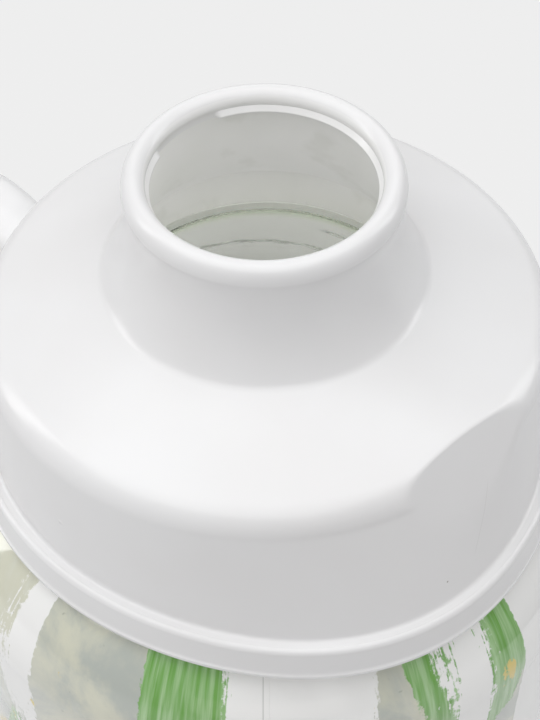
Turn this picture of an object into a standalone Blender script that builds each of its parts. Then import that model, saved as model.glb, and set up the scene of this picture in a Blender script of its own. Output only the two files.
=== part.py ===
"""Decorated glass serving bottle with a white screw-on pouring top.

Run with: blender --background --python part.py
Metres, +Z up. The origin is the middle of the flat foot. +X points to the pouring side, and the
handle stands at -X.
"""

import math

import bmesh
import bpy
from mathutils import Matrix, Vector

# Glass
FOOT_RADIUS = 0.0555
FOOT_ROUNDING = 0.005
BODY_RADIUS = 0.058
BODY_HEIGHT = 0.180
SHOULDER_HEIGHT = 0.021
SHOULDER_SPAN = 0.022
GLASS_WALL = 0.0032
GLASS_FLOOR = 0.006
FINISH_HEIGHT = 0.020
FINISH_RADIUS = 0.0312
FINISH_WALL = 0.0034
FINISH_ROOT_ROUNDING = 0.0018
RIM_ROUNDING = 0.0009

# Printed film round the glass
FILM_THICKNESS = 0.0004
FILM_TOP_SETBACK = 0.006
FILM_BOTTOM_HEIGHT = 0.011
FILM_GAP = 0.0003

# Seal ring between the glass rim and the land inside the top
SEAL_THICKNESS = 0.0015
SEAL_BORE_MARGIN = 0.0002
SEAL_GAP = 0.0003

# Screw top: shell
TOP_WALL = 0.0022
LAND_INNER_RADIUS = 0.0279
THREAD_BORE_CLEARANCE = 0.0015
THREAD_SKIRT_WALL = 0.0022
SKIRT_END_GAP = 0.0025
FLANGE_GAP = 0.0012
FLANGE_HEIGHT = 0.0069
FLANGE_REACH = 0.0026
FLANGE_ROUNDING = 0.0024
FLANGE_ROOT_ROUNDING = 0.0012
FLANGE_EDGE_CHAMFER = 0.0005
WALL_FOOT_RADIUS = 0.0483
SHOULDER_RING_RADIUS = 0.0403
SHOULDER_ROUNDING = 0.0065
SHOULDER_DROP = 0.0118
NECK_BASE_RISE = 0.0119
NECK_BASE_RADIUS = 0.0263

# Screw top: chimney, bead and stopper ledge
CHIMNEY_HEIGHT = 0.0185
CHIMNEY_WALL = 0.0018
BEAD_RING_RADIUS = 0.0201
BEAD_TUBE_RADIUS = 0.0019
BEAD_OUTER_END = math.radians(-50.0)
BEAD_INNER_END = math.radians(195.0)
CHIMNEY_TOP_RADIUS = 0.0212
LEDGE_DROP = 0.0007
LEDGE_HEIGHT = 0.0008
LEDGE_REACH = 0.0016
LEDGE_STEP = 0.0003
LEDGE_GAP_WIDTH = 0.013
LEDGE_GAP_REST = 0.0011

# Screw top: the swelling of wall and flange, and the scoop pressed into the shoulder
LOBE_REACH = 0.0047
LOBE_ANGLE = math.radians(-20.0)
LOBE_SPREAD = math.radians(36.0)
SCOOP_ANGLE = math.radians(-2.0)
SCOOP_TOP_RADIUS = 0.0427
SCOOP_TOP_DROP = 0.0060
SCOOP_FOOT_REACH = 0.0057
SCOOP_HOLLOW_RADIUS = 0.200
SCOOP_LENGTH = 0.080

# Handle
HANDLE_WIDTH = 0.0132
HANDLE_THICKNESS = 0.0075
HANDLE_ARM_DROP = 0.0076
HANDLE_ARM_RISE = 0.0020
HANDLE_STANDOFF = 0.0330
HANDLE_BEND = 0.0160
HANDLE_GRIP_LENGTH = 0.0860
HANDLE_TIP_SWEEP = 0.0050
HANDLE_ROOT_RISE = 0.00225
HANDLE_ROOT_SHARE = 1.15
HANDLE_FLARE_LENGTH = 0.0130
HANDLE_HEEL_SHARE = 0.80
HANDLE_TIP_SHARE = 0.35
HANDLE_TIP_LENGTH = 0.0045
BEND_PULL_SHARE = 0.55
HANDLE_SEAT_GAP = 0.0003
HANDLE_ROOT_DEPTH = 0.0060
TONGUE_WIDTH = 0.0105
TONGUE_HEIGHT = 0.0034
TONGUE_REACH = 0.0042
TONGUE_RISE = 0.0030
TONGUE_CLEARANCE = 0.0003

# Shared
TURN_STEPS = 60
ROLLER_STEPS = 180
HANDLE_ROUND_STEPS = 4
HANDLE_PATH_STEPS = 8
ARC_STEP = math.radians(30.0)
SHOULDER_RINGS = 7
OVERRUN = 0.004
MERGE_DISTANCE = 0.00001
SHARP_ANGLE = math.radians(32.0)

# Levels and radii that follow from the sizes above
SHOULDER_TOP_Z = BODY_HEIGHT + SHOULDER_HEIGHT
RIM_Z = SHOULDER_TOP_Z + FINISH_HEIGHT
FINISH_BORE = FINISH_RADIUS - FINISH_WALL
LAND_Z = RIM_Z + SEAL_GAP + SEAL_THICKNESS + SEAL_GAP
THREAD_BORE = FINISH_RADIUS + THREAD_BORE_CLEARANCE
SKIRT_RADIUS = THREAD_BORE + THREAD_SKIRT_WALL
SKIRT_END_Z = SHOULDER_TOP_Z + SKIRT_END_GAP
NECK_BASE_Z = LAND_Z + NECK_BASE_RISE
BEAD_Z = NECK_BASE_Z + CHIMNEY_HEIGHT
SHOULDER_RING_Z = NECK_BASE_Z - SHOULDER_DROP
FLANGE_RADIUS = WALL_FOOT_RADIUS + FLANGE_REACH
FLANGE_BORE = WALL_FOOT_RADIUS + FLANGE_REACH - TOP_WALL


def glass_shoulder_z(radius):
    """Height of the glass shoulder's outer surface, an elliptical quarter, at a radius."""
    share = (radius - (BODY_RADIUS - SHOULDER_SPAN)) / SHOULDER_SPAN
    return BODY_HEIGHT + SHOULDER_HEIGHT * math.sqrt(max(0.0, 1.0 - share * share))


FLANGE_BOTTOM_Z = glass_shoulder_z(FLANGE_BORE) + FLANGE_GAP
FLANGE_TOP_Z = FLANGE_BOTTOM_Z + FLANGE_HEIGHT


def arc(centre, radius, start, end):
    """Points of an arc in the profile plane, angles from +X towards +Z."""
    count = max(2, math.ceil(abs(end - start) / ARC_STEP))
    steps = [start + (end - start) * i / count for i in range(count + 1)]
    return [(centre[0] + radius * math.cos(a), centre[1] + radius * math.sin(a)) for a in steps]


def collection(name):
    group = bpy.data.collections.new(name)
    bpy.context.scene.collection.children.link(group)
    return group


def material(name, colour, roughness, transmission=0.0):
    made = bpy.data.materials.new(name)
    made.use_nodes = True
    shader = made.node_tree.nodes["Principled BSDF"]
    shader.inputs["Base Color"].default_value = (*colour, 1.0)
    shader.inputs["Roughness"].default_value = roughness
    shader.inputs["Metallic"].default_value = 0.0
    shader.inputs["Transmission Weight"].default_value = transmission
    return made


def turned(name, profile, group, closed):
    """An object whose profile, running down its outer side, is turned about Z by a Screw modifier."""
    mesh = bpy.data.meshes.new(name)
    points = [(x, 0.0, z) for x, z in profile]
    edges = [(i, i + 1) for i in range(len(points) - 1)]
    if closed:
        edges.append((len(points) - 1, 0))
    mesh.from_pydata(points, edges, [])
    made = bpy.data.objects.new(name, mesh)
    group.objects.link(made)
    screw = made.modifiers.new("turn", "SCREW")
    screw.steps = TURN_STEPS
    screw.render_steps = TURN_STEPS
    screw.use_merge_vertices = True
    screw.merge_threshold = MERGE_DISTANCE
    return made


def settle(made):
    """Replace the object's mesh by its evaluated one, so that its points can be moved."""
    evaluated = made.evaluated_get(bpy.context.evaluated_depsgraph_get())
    mesh = bpy.data.meshes.new_from_object(evaluated)
    made.modifiers.clear()
    made.data = mesh
    return made


def cutter(made):
    made.display_type = "WIRE"
    made.hide_render = True
    return made


def boolean(made, other, operation):
    step = made.modifiers.new(operation.lower(), "BOOLEAN")
    step.operation = operation
    step.solver = "EXACT"
    step.object = other


def shade(made):
    made.data.shade_smooth()
    made.data.set_sharp_from_angle(angle=SHARP_ANGLE)


def finish(made, finish_material):
    """Settle the modifiers, shade the piece smooth and give it its material."""
    settle(made)
    made.data.materials.clear()
    made.data.materials.append(finish_material)
    shade(made)
    return made


def box(name, group, low, high):
    """A box cutter between two corners."""
    made = bpy.data.objects.new(name, bpy.data.meshes.new(name))
    group.objects.link(made)
    shape = bmesh.new()
    bmesh.ops.create_cube(shape, size=1.0)
    size = Vector(high) - Vector(low)
    middle = (Vector(high) + Vector(low)) / 2.0
    bmesh.ops.scale(shape, vec=size, verts=shape.verts)
    bmesh.ops.translate(shape, vec=middle, verts=shape.verts)
    shape.to_mesh(made.data)
    shape.free()
    return made


def make_glass_bottle(parts):
    outer = arc((FINISH_RADIUS - RIM_ROUNDING, RIM_Z - RIM_ROUNDING), RIM_ROUNDING, math.pi / 2, 0.0)
    root = FINISH_ROOT_ROUNDING
    outer += arc((FINISH_RADIUS + root, SHOULDER_TOP_Z + root), root, math.pi, 1.5 * math.pi)
    rings = SHOULDER_RINGS
    inner_edge = BODY_RADIUS - SHOULDER_SPAN
    for i in range(rings + 1):
        angle = math.pi / 2 * (1.0 - i / rings)
        x = inner_edge + SHOULDER_SPAN * math.cos(angle)
        outer.append((x, BODY_HEIGHT + SHOULDER_HEIGHT * math.sin(angle)))
    outer += arc((FOOT_RADIUS - FOOT_ROUNDING, FOOT_ROUNDING), FOOT_ROUNDING, 0.0, -math.pi / 2)
    outer.append((0.0, 0.0))

    floor_corner = (FOOT_RADIUS - GLASS_WALL - FOOT_ROUNDING, GLASS_FLOOR + FOOT_ROUNDING)
    inner = [(0.0, GLASS_FLOOR)]
    inner += arc(floor_corner, FOOT_ROUNDING, -math.pi / 2, 0.0)
    shoulder_bore = SHOULDER_SPAN - GLASS_WALL
    shoulder_rise = SHOULDER_HEIGHT - GLASS_WALL
    for i in range(rings + 1):
        angle = math.pi / 2 * i / rings
        x = inner_edge + shoulder_bore * math.cos(angle)
        inner.append((x, BODY_HEIGHT + shoulder_rise * math.sin(angle)))
    inner += [(FINISH_BORE, SHOULDER_TOP_Z - GLASS_WALL + root)]
    inner += arc((FINISH_BORE + RIM_ROUNDING, RIM_Z - RIM_ROUNDING), RIM_ROUNDING, math.pi, math.pi / 2)
    made = turned("glass_bottle", outer + inner, parts, closed=True)
    return finish(made, material("clear_glass", (0.86, 0.93, 0.89), 0.03, transmission=0.9))


def film_side(offset):
    """Outer side of the film at an offset from the glass, top to bottom."""
    inner_edge = BODY_RADIUS - SHOULDER_SPAN
    top_radius = FLANGE_BORE - FILM_TOP_SETBACK
    start = math.acos((top_radius - inner_edge) / SHOULDER_SPAN)
    points = []
    for i in range(SHOULDER_RINGS + 1):
        angle = start * (1.0 - i / SHOULDER_RINGS)
        x = inner_edge + (SHOULDER_SPAN + offset) * math.cos(angle)
        z = BODY_HEIGHT + (SHOULDER_HEIGHT + offset) * math.sin(angle)
        points.append((x, z))
    share = (FILM_BOTTOM_HEIGHT - FOOT_ROUNDING) / (BODY_HEIGHT - FOOT_ROUNDING)
    points.append((FOOT_RADIUS + (BODY_RADIUS - FOOT_RADIUS) * share + offset, FILM_BOTTOM_HEIGHT))
    return points


def make_print_film(parts):
    outer = film_side(FILM_GAP + FILM_THICKNESS)
    inner = film_side(FILM_GAP)
    inner.reverse()
    made = turned("print_film", outer + inner, parts, closed=True)
    return finish(made, material("printed_film", (0.42, 0.44, 0.33), 0.15))


def make_seal_ring(parts):
    low = RIM_Z + SEAL_GAP
    high = low + SEAL_THICKNESS
    bore = FINISH_BORE + SEAL_BORE_MARGIN
    profile = [(FINISH_RADIUS, high), (FINISH_RADIUS, low), (bore, low), (bore, high)]
    made = turned("seal_ring", profile, parts, closed=True)
    return finish(made, material("seal_rubber", (0.78, 0.79, 0.76), 0.5))


def dome_line():
    """Tilt of the dome's straight slope, which runs from the neck's foot onto the shoulder rounding."""
    centre = Vector((SHOULDER_RING_RADIUS, SHOULDER_RING_Z))
    start = Vector((NECK_BASE_RADIUS, NECK_BASE_Z))
    away = centre - start
    return math.asin(SHOULDER_ROUNDING / away.length) + math.atan2(away.y, away.x)


def dome_z(radius, inset):
    """Height of the dome's slope at a radius, at an inset below its outer surface."""
    tilt = dome_line()
    return NECK_BASE_Z + (radius - NECK_BASE_RADIUS) * math.tan(tilt) - inset / math.cos(tilt)


def wall_side(inset, bottom_z):
    """Shoulder and wall, from the end of the dome's slope down, at an inset from the outer surface."""
    tilt = dome_line()
    rounding = SHOULDER_ROUNDING - inset
    draft = WALL_FOOT_RADIUS - SHOULDER_RING_RADIUS - SHOULDER_ROUNDING
    lean = math.atan2(draft, SHOULDER_RING_Z - FLANGE_TOP_Z)
    points = arc((SHOULDER_RING_RADIUS, SHOULDER_RING_Z), rounding, math.pi / 2 + tilt, lean)
    points.append((WALL_FOOT_RADIUS - inset, bottom_z))
    return points


def swell(made):
    """Swell the wall and the flange outwards round LOBE_ANGLE, from nothing at the shoulder."""
    for vertex in made.data.vertices:
        place = vertex.co
        radius = math.hypot(place.x, place.y)
        if radius < SHOULDER_RING_RADIUS or place.z > SHOULDER_RING_Z:
            continue
        turn = math.atan2(place.y, place.x) - LOBE_ANGLE
        turn = math.atan2(math.sin(turn), math.cos(turn))
        depth = min(1.0, (SHOULDER_RING_Z - place.z) / (SHOULDER_RING_Z - FLANGE_TOP_Z))
        reach = LOBE_REACH * depth * math.exp(-((turn / LOBE_SPREAD) ** 2))
        place.x += reach * place.x / radius
        place.y += reach * place.y / radius


def top_outer_side():
    """The outer side of the screw top, from the middle of the bead's crown down to the flange."""
    points = arc((BEAD_RING_RADIUS, BEAD_Z), BEAD_TUBE_RADIUS, math.pi / 2, BEAD_OUTER_END)
    start_z = points[-1][1] - LEDGE_STEP
    rings = math.ceil(math.pi / 2 / ARC_STEP) * 2
    for i in range(rings + 1):
        share = i / rings
        x = CHIMNEY_TOP_RADIUS + (NECK_BASE_RADIUS - CHIMNEY_TOP_RADIUS) * share * share
        points.append((x, start_z + (NECK_BASE_Z - start_z) * share))
    points += wall_side(0.0, FLANGE_TOP_Z)
    crown = FLANGE_TOP_Z - FLANGE_ROOT_ROUNDING
    rim = FLANGE_RADIUS - FLANGE_ROUNDING
    points.append((rim, crown))
    points += arc((rim, crown - FLANGE_ROUNDING), FLANGE_ROUNDING, math.pi / 3, 0.0)
    points.append((FLANGE_RADIUS, FLANGE_BOTTOM_Z + FLANGE_EDGE_CHAMFER))
    points.append((FLANGE_RADIUS - FLANGE_EDGE_CHAMFER, FLANGE_BOTTOM_Z))
    return points


def top_inner_side():
    """The bore side of the screw top, from the foot of the threaded skirt up to the bead."""
    chimney_bore = CHIMNEY_TOP_RADIUS - CHIMNEY_WALL
    neck_bore = NECK_BASE_RADIUS - CHIMNEY_WALL
    ledge_top = BEAD_Z - LEDGE_DROP
    ledge_foot = ledge_top - LEDGE_HEIGHT
    ledge_bore = chimney_bore - LEDGE_REACH
    points = [(SKIRT_RADIUS + TOP_WALL, FLANGE_BOTTOM_Z)]
    points.append((SKIRT_RADIUS + TOP_WALL, SKIRT_END_Z))
    points.append((THREAD_BORE, SKIRT_END_Z))
    points.append((THREAD_BORE, LAND_Z))
    points.append((LAND_INNER_RADIUS, LAND_Z))
    points.append((LAND_INNER_RADIUS, dome_z(LAND_INNER_RADIUS, TOP_WALL)))
    foot_z = dome_z(neck_bore, TOP_WALL)
    rings = math.ceil(math.pi / 2 / ARC_STEP)
    start_z = ledge_foot - LEDGE_STEP
    for i in range(rings + 1):
        share = 1.0 - i / rings
        x = chimney_bore + (neck_bore - chimney_bore) * share * share
        points.append((x, start_z + (foot_z - start_z) * share))
    points.append((ledge_bore, ledge_foot))
    points.append((ledge_bore, ledge_top))
    bead = arc((BEAD_RING_RADIUS, BEAD_Z), BEAD_TUBE_RADIUS, BEAD_INNER_END, math.pi / 2)
    return points + bead[:-1]


def scoop_cutter(name, cutters, inset):
    """A leaning upright roller that presses the scoop and runs out where the wall meets the flange."""
    foot = Vector((WALL_FOOT_RADIUS + SCOOP_FOOT_REACH, 0.0, FLANGE_TOP_Z))
    brow = Vector((SCOOP_TOP_RADIUS, 0.0, NECK_BASE_Z - SCOOP_TOP_DROP))
    lean = math.atan2(foot.x - brow.x, brow.z - foot.z)
    radius = SCOOP_HOLLOW_RADIUS + inset
    made = bpy.data.objects.new(name, bpy.data.meshes.new(name))
    cutters.objects.link(made)
    shape = bmesh.new()
    bmesh.ops.create_cone(
        shape,
        cap_ends=True,
        segments=ROLLER_STEPS,
        radius1=radius,
        radius2=radius,
        depth=SCOOP_LENGTH,
    )
    shape.to_mesh(made.data)
    shape.free()
    place = Matrix.Translation((SCOOP_HOLLOW_RADIUS, 0.0, SCOOP_LENGTH / 2))
    aim = Matrix.Rotation(SCOOP_ANGLE, 4, "Z") @ Matrix.Translation(foot)
    made.matrix_world = aim @ Matrix.Rotation(-lean, 4, "Y") @ place
    return cutter(made)


def make_screw_top(parts, cutters):
    made = turned("screw_top", top_outer_side() + top_inner_side(), parts, closed=True)
    settle(made)
    swell(made)

    outer = [(SKIRT_RADIUS, dome_z(SKIRT_RADIUS, TOP_WALL))]
    outer += wall_side(TOP_WALL, FLANGE_TOP_Z - FLANGE_ROOT_ROUNDING)
    outer.append((FLANGE_BORE, FLANGE_TOP_Z - FLANGE_HEIGHT / 2))
    outer.append((FLANGE_BORE, FLANGE_BOTTOM_Z - OVERRUN))
    outer.append((SKIRT_RADIUS, FLANGE_BOTTOM_Z - OVERRUN))
    hollow = turned("hollow_under_dome", outer, cutters, closed=True)
    settle(hollow)
    swell(hollow)
    cutter(hollow)
    boolean(hollow, scoop_cutter("scoop_inner_roller", cutters, TOP_WALL), "DIFFERENCE")

    boolean(made, scoop_cutter("scoop_roller", cutters, 0.0), "DIFFERENCE")
    boolean(made, hollow, "DIFFERENCE")
    boolean(made, ledge_gaps(cutters), "DIFFERENCE")
    boolean(made, tongue_box("tongue_slot", cutters, TONGUE_CLEARANCE), "DIFFERENCE")
    return finish(made, material("white_plastic", (0.84, 0.84, 0.84), 0.22))


def ledge_gaps(cutters):
    """Both entries for a stopper's lugs: the part of a disc that a bar across the mouth covers."""
    chimney_bore = CHIMNEY_TOP_RADIUS - CHIMNEY_WALL
    high = BEAD_Z - LEDGE_DROP + LEDGE_STEP / 2
    low = BEAD_Z - LEDGE_DROP - LEDGE_HEIGHT - LEDGE_STEP / 2
    reach = chimney_bore - LEDGE_GAP_REST
    profile = [(0.0, high), (reach, high), (reach, low), (0.0, low)]
    disc = turned("ledge_gap_disc", profile, cutters, closed=False)
    corner = (BODY_RADIUS, LEDGE_GAP_WIDTH / 2, high + OVERRUN)
    bar = cutter(box("ledge_gap_bar", cutters, (-corner[0], -corner[1], low - OVERRUN), corner))
    boolean(disc, bar, "INTERSECT")
    return cutter(disc)


def tongue_box(name, group, grow):
    """The handle's tongue through the wall, or its slot when grown by the clearance."""
    wall = SHOULDER_RING_RADIUS + SHOULDER_ROUNDING
    level = FLANGE_TOP_Z + TONGUE_RISE
    half = TONGUE_WIDTH / 2 + grow
    low = (-wall - TOP_WALL, -half, level - TONGUE_HEIGHT / 2 - grow)
    high = (-wall + TONGUE_REACH + grow, half, level + TONGUE_HEIGHT / 2 + grow)
    return cutter(box(name, group, low, high))


def handle_bar(parts):
    """The handle's bar: a curve in the XZ plane, out of the wall, round the bend and down the grip."""
    wall = WALL_FOOT_RADIUS
    arm_z = FLANGE_TOP_Z - HANDLE_ARM_DROP
    grip_x = -(BODY_RADIUS + HANDLE_STANDOFF)
    bend_z = arm_z + HANDLE_ARM_RISE
    root = (-(wall - HANDLE_ROOT_DEPTH), FLANGE_TOP_Z + HANDLE_ROOT_RISE)
    flare = (-(wall + HANDLE_FLARE_LENGTH), arm_z)
    knee = (grip_x + HANDLE_BEND, bend_z)
    turn = (grip_x, bend_z - HANDLE_BEND)
    heel = (grip_x + HANDLE_TIP_SWEEP, turn[1] - HANDLE_GRIP_LENGTH)
    down = Vector((HANDLE_TIP_SWEEP, -HANDLE_GRIP_LENGTH)).normalized()
    tip = (heel[0] + down.x * HANDLE_TIP_LENGTH, heel[1] + down.y * HANDLE_TIP_LENGTH)
    pull = HANDLE_BEND * BEND_PULL_SHARE
    rise = Vector((-1.0, HANDLE_ARM_RISE / HANDLE_STANDOFF)).normalized() * pull
    path = (
        (root, Vector((-HANDLE_ROOT_DEPTH, 0.0)), HANDLE_ROOT_SHARE),
        (flare, rise, 1.0),
        (knee, rise, 1.0),
        (turn, Vector((0.0, -pull)), 1.0),
        (heel, down * HANDLE_TIP_LENGTH / 2, HANDLE_HEEL_SHARE),
        (tip, down * HANDLE_TIP_LENGTH / 2, HANDLE_TIP_SHARE),
    )
    curve = bpy.data.curves.new("handle_bar", "CURVE")
    curve.dimensions = "3D"
    curve.bevel_depth = HANDLE_THICKNESS / 2
    curve.bevel_resolution = HANDLE_ROUND_STEPS
    curve.resolution_u = HANDLE_PATH_STEPS
    curve.use_fill_caps = True
    spline = curve.splines.new("BEZIER")
    spline.bezier_points.add(len(path) - 1)
    for point, (place, pull_out, swelling) in zip(spline.bezier_points, path):
        point.co = (place[0], 0.0, place[1])
        point.handle_right = point.co + Vector((pull_out.x, 0.0, pull_out.y))
        point.handle_left = point.co - Vector((pull_out.x, 0.0, pull_out.y))
        point.radius = swelling
    bar = bpy.data.objects.new("handle_bar", curve)
    parts.objects.link(bar)
    evaluated = bar.evaluated_get(bpy.context.evaluated_depsgraph_get())
    mesh = bpy.data.meshes.new_from_object(evaluated)
    shape = bmesh.new()
    shape.from_mesh(mesh)
    bmesh.ops.remove_doubles(shape, verts=shape.verts, dist=MERGE_DISTANCE)
    bmesh.ops.scale(shape, vec=(1.0, HANDLE_WIDTH / HANDLE_THICKNESS, 1.0), verts=shape.verts)
    bmesh.ops.recalc_face_normals(shape, faces=shape.faces)
    shape.to_mesh(mesh)
    shape.free()
    made = bpy.data.objects.new("handle", mesh)
    made.matrix_world = bar.matrix_world
    parts.objects.link(made)
    bpy.data.objects.remove(bar)
    return made


def make_handle(parts, cutters):
    made = handle_bar(parts)
    gap = HANDLE_SEAT_GAP
    seat = wall_side(-gap, FLANGE_TOP_Z)
    seat.append((FLANGE_RADIUS - FLANGE_ROUNDING + gap, FLANGE_TOP_Z - FLANGE_ROOT_ROUNDING + gap))
    crown = FLANGE_TOP_Z - FLANGE_ROOT_ROUNDING - FLANGE_ROUNDING
    seat += arc((FLANGE_RADIUS - FLANGE_ROUNDING, crown), FLANGE_ROUNDING + gap, math.pi / 3, 0.0)
    seat.append((FLANGE_RADIUS + gap, FLANGE_BOTTOM_Z - SHOULDER_HEIGHT))
    seat.append((0.0, FLANGE_BOTTOM_Z - SHOULDER_HEIGHT))
    seat.insert(0, (0.0, seat[0][1]))
    form = turned("handle_seat_form", seat, cutters, closed=False)
    boolean(made, cutter(form), "DIFFERENCE")
    settle(made)
    boolean(made, tongue_box("handle_tongue", cutters, 0.0), "UNION")
    return finish(made, material("white_plastic_handle", (0.84, 0.84, 0.84), 0.22))


def build():
    for old in list(bpy.data.objects):
        bpy.data.objects.remove(old)
    parts = collection("serving_bottle")
    cutters = collection("cutters")
    make_glass_bottle(parts)
    make_print_film(parts)
    make_seal_ring(parts)
    make_screw_top(parts, cutters)
    make_handle(parts, cutters)


build()
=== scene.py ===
import math

import bpy
from mathutils import Matrix, Vector


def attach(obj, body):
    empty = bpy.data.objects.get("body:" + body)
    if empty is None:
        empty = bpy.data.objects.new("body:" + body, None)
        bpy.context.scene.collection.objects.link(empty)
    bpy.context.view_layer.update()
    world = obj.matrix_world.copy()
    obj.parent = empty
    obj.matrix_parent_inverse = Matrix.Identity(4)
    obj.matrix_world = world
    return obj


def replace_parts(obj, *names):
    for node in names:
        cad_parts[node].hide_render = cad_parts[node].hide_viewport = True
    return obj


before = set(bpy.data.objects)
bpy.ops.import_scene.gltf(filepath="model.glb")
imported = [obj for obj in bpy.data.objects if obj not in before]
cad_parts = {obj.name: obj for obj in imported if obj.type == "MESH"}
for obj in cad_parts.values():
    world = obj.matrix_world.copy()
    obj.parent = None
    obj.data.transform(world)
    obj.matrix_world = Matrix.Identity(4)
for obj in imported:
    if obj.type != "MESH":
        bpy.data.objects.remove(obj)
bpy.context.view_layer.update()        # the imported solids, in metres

print("frame loaded")


# Node helpers
def addNode(tree, kind, settings=None, **inputs):
    made = tree.nodes.new(kind)
    for name, value in (settings or {}).items():
        setattr(made, name, value)
    for name, value in inputs.items():
        plug(tree, made, name.replace("_", " "), value)
    return made


def plug(tree, target, name, value):
    socket = target.inputs[int(name[1:]) if name[0] == "n" and name[1:].isdigit() else name]
    if isinstance(value, bpy.types.NodeSocket):
        tree.links.new(value, socket)
    else:
        socket.default_value = value


def sums(tree, operation, first, second=0.0, third=0.0, clamp=False):
    settings = {"operation": operation, "use_clamp": clamp}
    return addNode(tree, "ShaderNodeMath", settings, n0=first, n1=second, n2=third).outputs[0]


def blendColour(tree, share, first, second):
    made = addNode(tree, "ShaderNodeMix", {"data_type": "RGBA"})
    plug(tree, made, "n0", share)
    plug(tree, made, "n6", first)
    plug(tree, made, "n7", second)
    return made.outputs[2]


def ramp(tree, value, low, high):
    # 0 below low, 1 above high, smooth between
    settings = {"interpolation_type": "SMOOTHSTEP"}
    made = addNode(tree, "ShaderNodeMapRange", settings, Value=value)
    plug(tree, made, "From Min", low)
    plug(tree, made, "From Max", high)
    return made.outputs[0]


def cloud(tree, place, scale, detail=2.0, rough=0.5, distortion=0.0):
    made = addNode(tree, "ShaderNodeTexNoise", None, Vector=place, Scale=scale, Detail=detail)
    plug(tree, made, "Roughness", rough)
    plug(tree, made, "Distortion", distortion)
    return made.outputs[0]


def newMaterial(name):
    made = bpy.data.materials.new(name)
    made.use_nodes = True
    return made, made.node_tree, made.node_tree.nodes["Principled BSDF"]


def layered(tree, share, under, over):
    # two shaders, the second laid over the first by its share
    made = addNode(tree, "ShaderNodeMixShader", None, Fac=share)
    plug(tree, made, "n1", under)
    plug(tree, made, "n2", over)
    return made.outputs[0]


def surfaced(tree, whole):
    tree.links.new(whole, tree.nodes["Material Output"].inputs["Surface"])


def clearFromBehind(tree, front):
    # light that is inside a thin wall passes out of it, so a wall lit outside glows inside
    clear = addNode(tree, "ShaderNodeBsdfTransparent").outputs[0]
    side = addNode(tree, "ShaderNodeNewGeometry").outputs["Backfacing"]
    surfaced(tree, layered(tree, side, front, clear))


def glowing(tree, shader, colour, share):
    through = addNode(tree, "ShaderNodeBsdfTranslucent", None, Color=colour).outputs[0]
    return layered(tree, share, shader.outputs[0], through)


def bumped(tree, shader, height, distance):
    made = addNode(tree, "ShaderNodeBump", None, Height=height, Distance=distance, Strength=1.0)
    tree.links.new(made.outputs[0], shader.inputs["Normal"])


def placed(made):
    bpy.context.scene.collection.objects.link(made)
    return made


def aimed(look):
    return Vector(look).to_track_quat("-Z", "Y").to_matrix().to_4x4()


# Camera, where the photograph was taken from
cameraView = {
    "place": (0.14493, -0.14403, 0.43835),
    "look": (-0.47443, 0.47443, -0.74151),
    "roll": -0.538,
    "lens": 90.0,
    "sensor": 36.0,
    "clip": (0.01, 30.0),
}


def makeCamera(view):
    data = bpy.data.cameras.new("photoCamera")
    data.lens = view["lens"]
    data.sensor_width = view["sensor"]
    data.clip_start, data.clip_end = view["clip"]
    camera = placed(bpy.data.objects.new("photoCamera", data))
    roll = Matrix.Rotation(math.radians(view["roll"]), 4, "Z")
    camera.matrix_world = Matrix.Translation(view["place"]) @ aimed(view["look"]) @ roll
    bpy.context.scene.camera = camera
    bpy.context.scene.view_settings.view_transform = "Standard"


makeCamera(cameraView)
print("camera placed")


# Floor, background and lamps
studio = {
    "floorSize": 6.0,
    "floorGap": 0.0001,
    "floorColour": (0.80, 0.80, 0.80, 1.0),
    "floorRoughness": 0.7,
    "backgroundColour": (0.863, 0.863, 0.863, 1.0),
    "floorShown": 0.12,      # share of the lit floor in what the camera sees
    "floorMirrored": (0.52, 0.53, 0.57, 1.0),
    "mirroredShare": 0.15,      # share of that tone in what glossy surfaces mirror
    "worldColour": (0.985, 0.985, 1.0, 1.0),
    "worldStrength": 0.30,
}

# a dark board out of view, which gives the chimney's right side its darker band
darkBoard = {
    "reach": 0.55,      # metres from the bottle's axis
    "from": 20.0, "to": 52.0,
    "height": 0.34,
    "colour": (0.10, 0.10, 0.11, 1.0),
    "roughness": 0.8,
}

lamps = (
    # name, place, aimed at, width, height, watts, colour
    ("overhead", (0.10, -0.26, 1.50), (0.0, 0.0, 0.22), 2.0, 2.0, 19.8, (1.0, 1.0, 1.0)),
    ("leftWindow", (-1.00, -0.70, 0.80), (0.0, 0.0, 0.20), 0.30, 1.1, 4.2, (1.0, 1.0, 1.0)),
    ("rightWindow", (0.60, 1.10, 0.80), (0.0, 0.0, 0.20), 0.30, 1.1, 3.4, (1.0, 1.0, 1.0)),
    ("frontWindow", (0.85, -0.45, 0.80), (0.0, 0.0, 0.20), 0.14, 1.0, 0.14, (1.0, 1.0, 1.0)),
    ("backWindow", (-0.85, 0.85, 0.90), (0.0, 0.0, 0.20), 0.60, 1.1, 1.4, (1.0, 1.0, 1.0)),
    ("lowFront", (0.80, -0.80, 0.30), (0.0, 0.0, 0.19), 0.90, 0.3, 0.28, (1.0, 0.90, 0.84)),
)


def makeSheet(name, corners, paint):
    mesh = bpy.data.meshes.new(name)
    mesh.from_pydata(corners, [], [(0, 1, 2, 3)])
    mesh.materials.append(paint)
    sheet = placed(bpy.data.objects.new(name, mesh))
    return sheet


def makeBackground(settings):
    world = bpy.data.worlds.new("paleRoom")
    world.use_nodes = True
    tree = world.node_tree
    sky = tree.nodes["Background"]
    sky.inputs["Color"].default_value = settings["worldColour"]
    sky.inputs["Strength"].default_value = settings["worldStrength"]
    seen = addNode(tree, "ShaderNodeBackground", None, Color=settings["backgroundColour"])
    path = addNode(tree, "ShaderNodeLightPath").outputs
    mixed = layered(tree, path["Is Camera Ray"], sky.outputs[0], seen.outputs[0])
    tree.links.new(mixed, tree.nodes["World Output"].inputs["Surface"])
    bpy.context.scene.world = world


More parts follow.
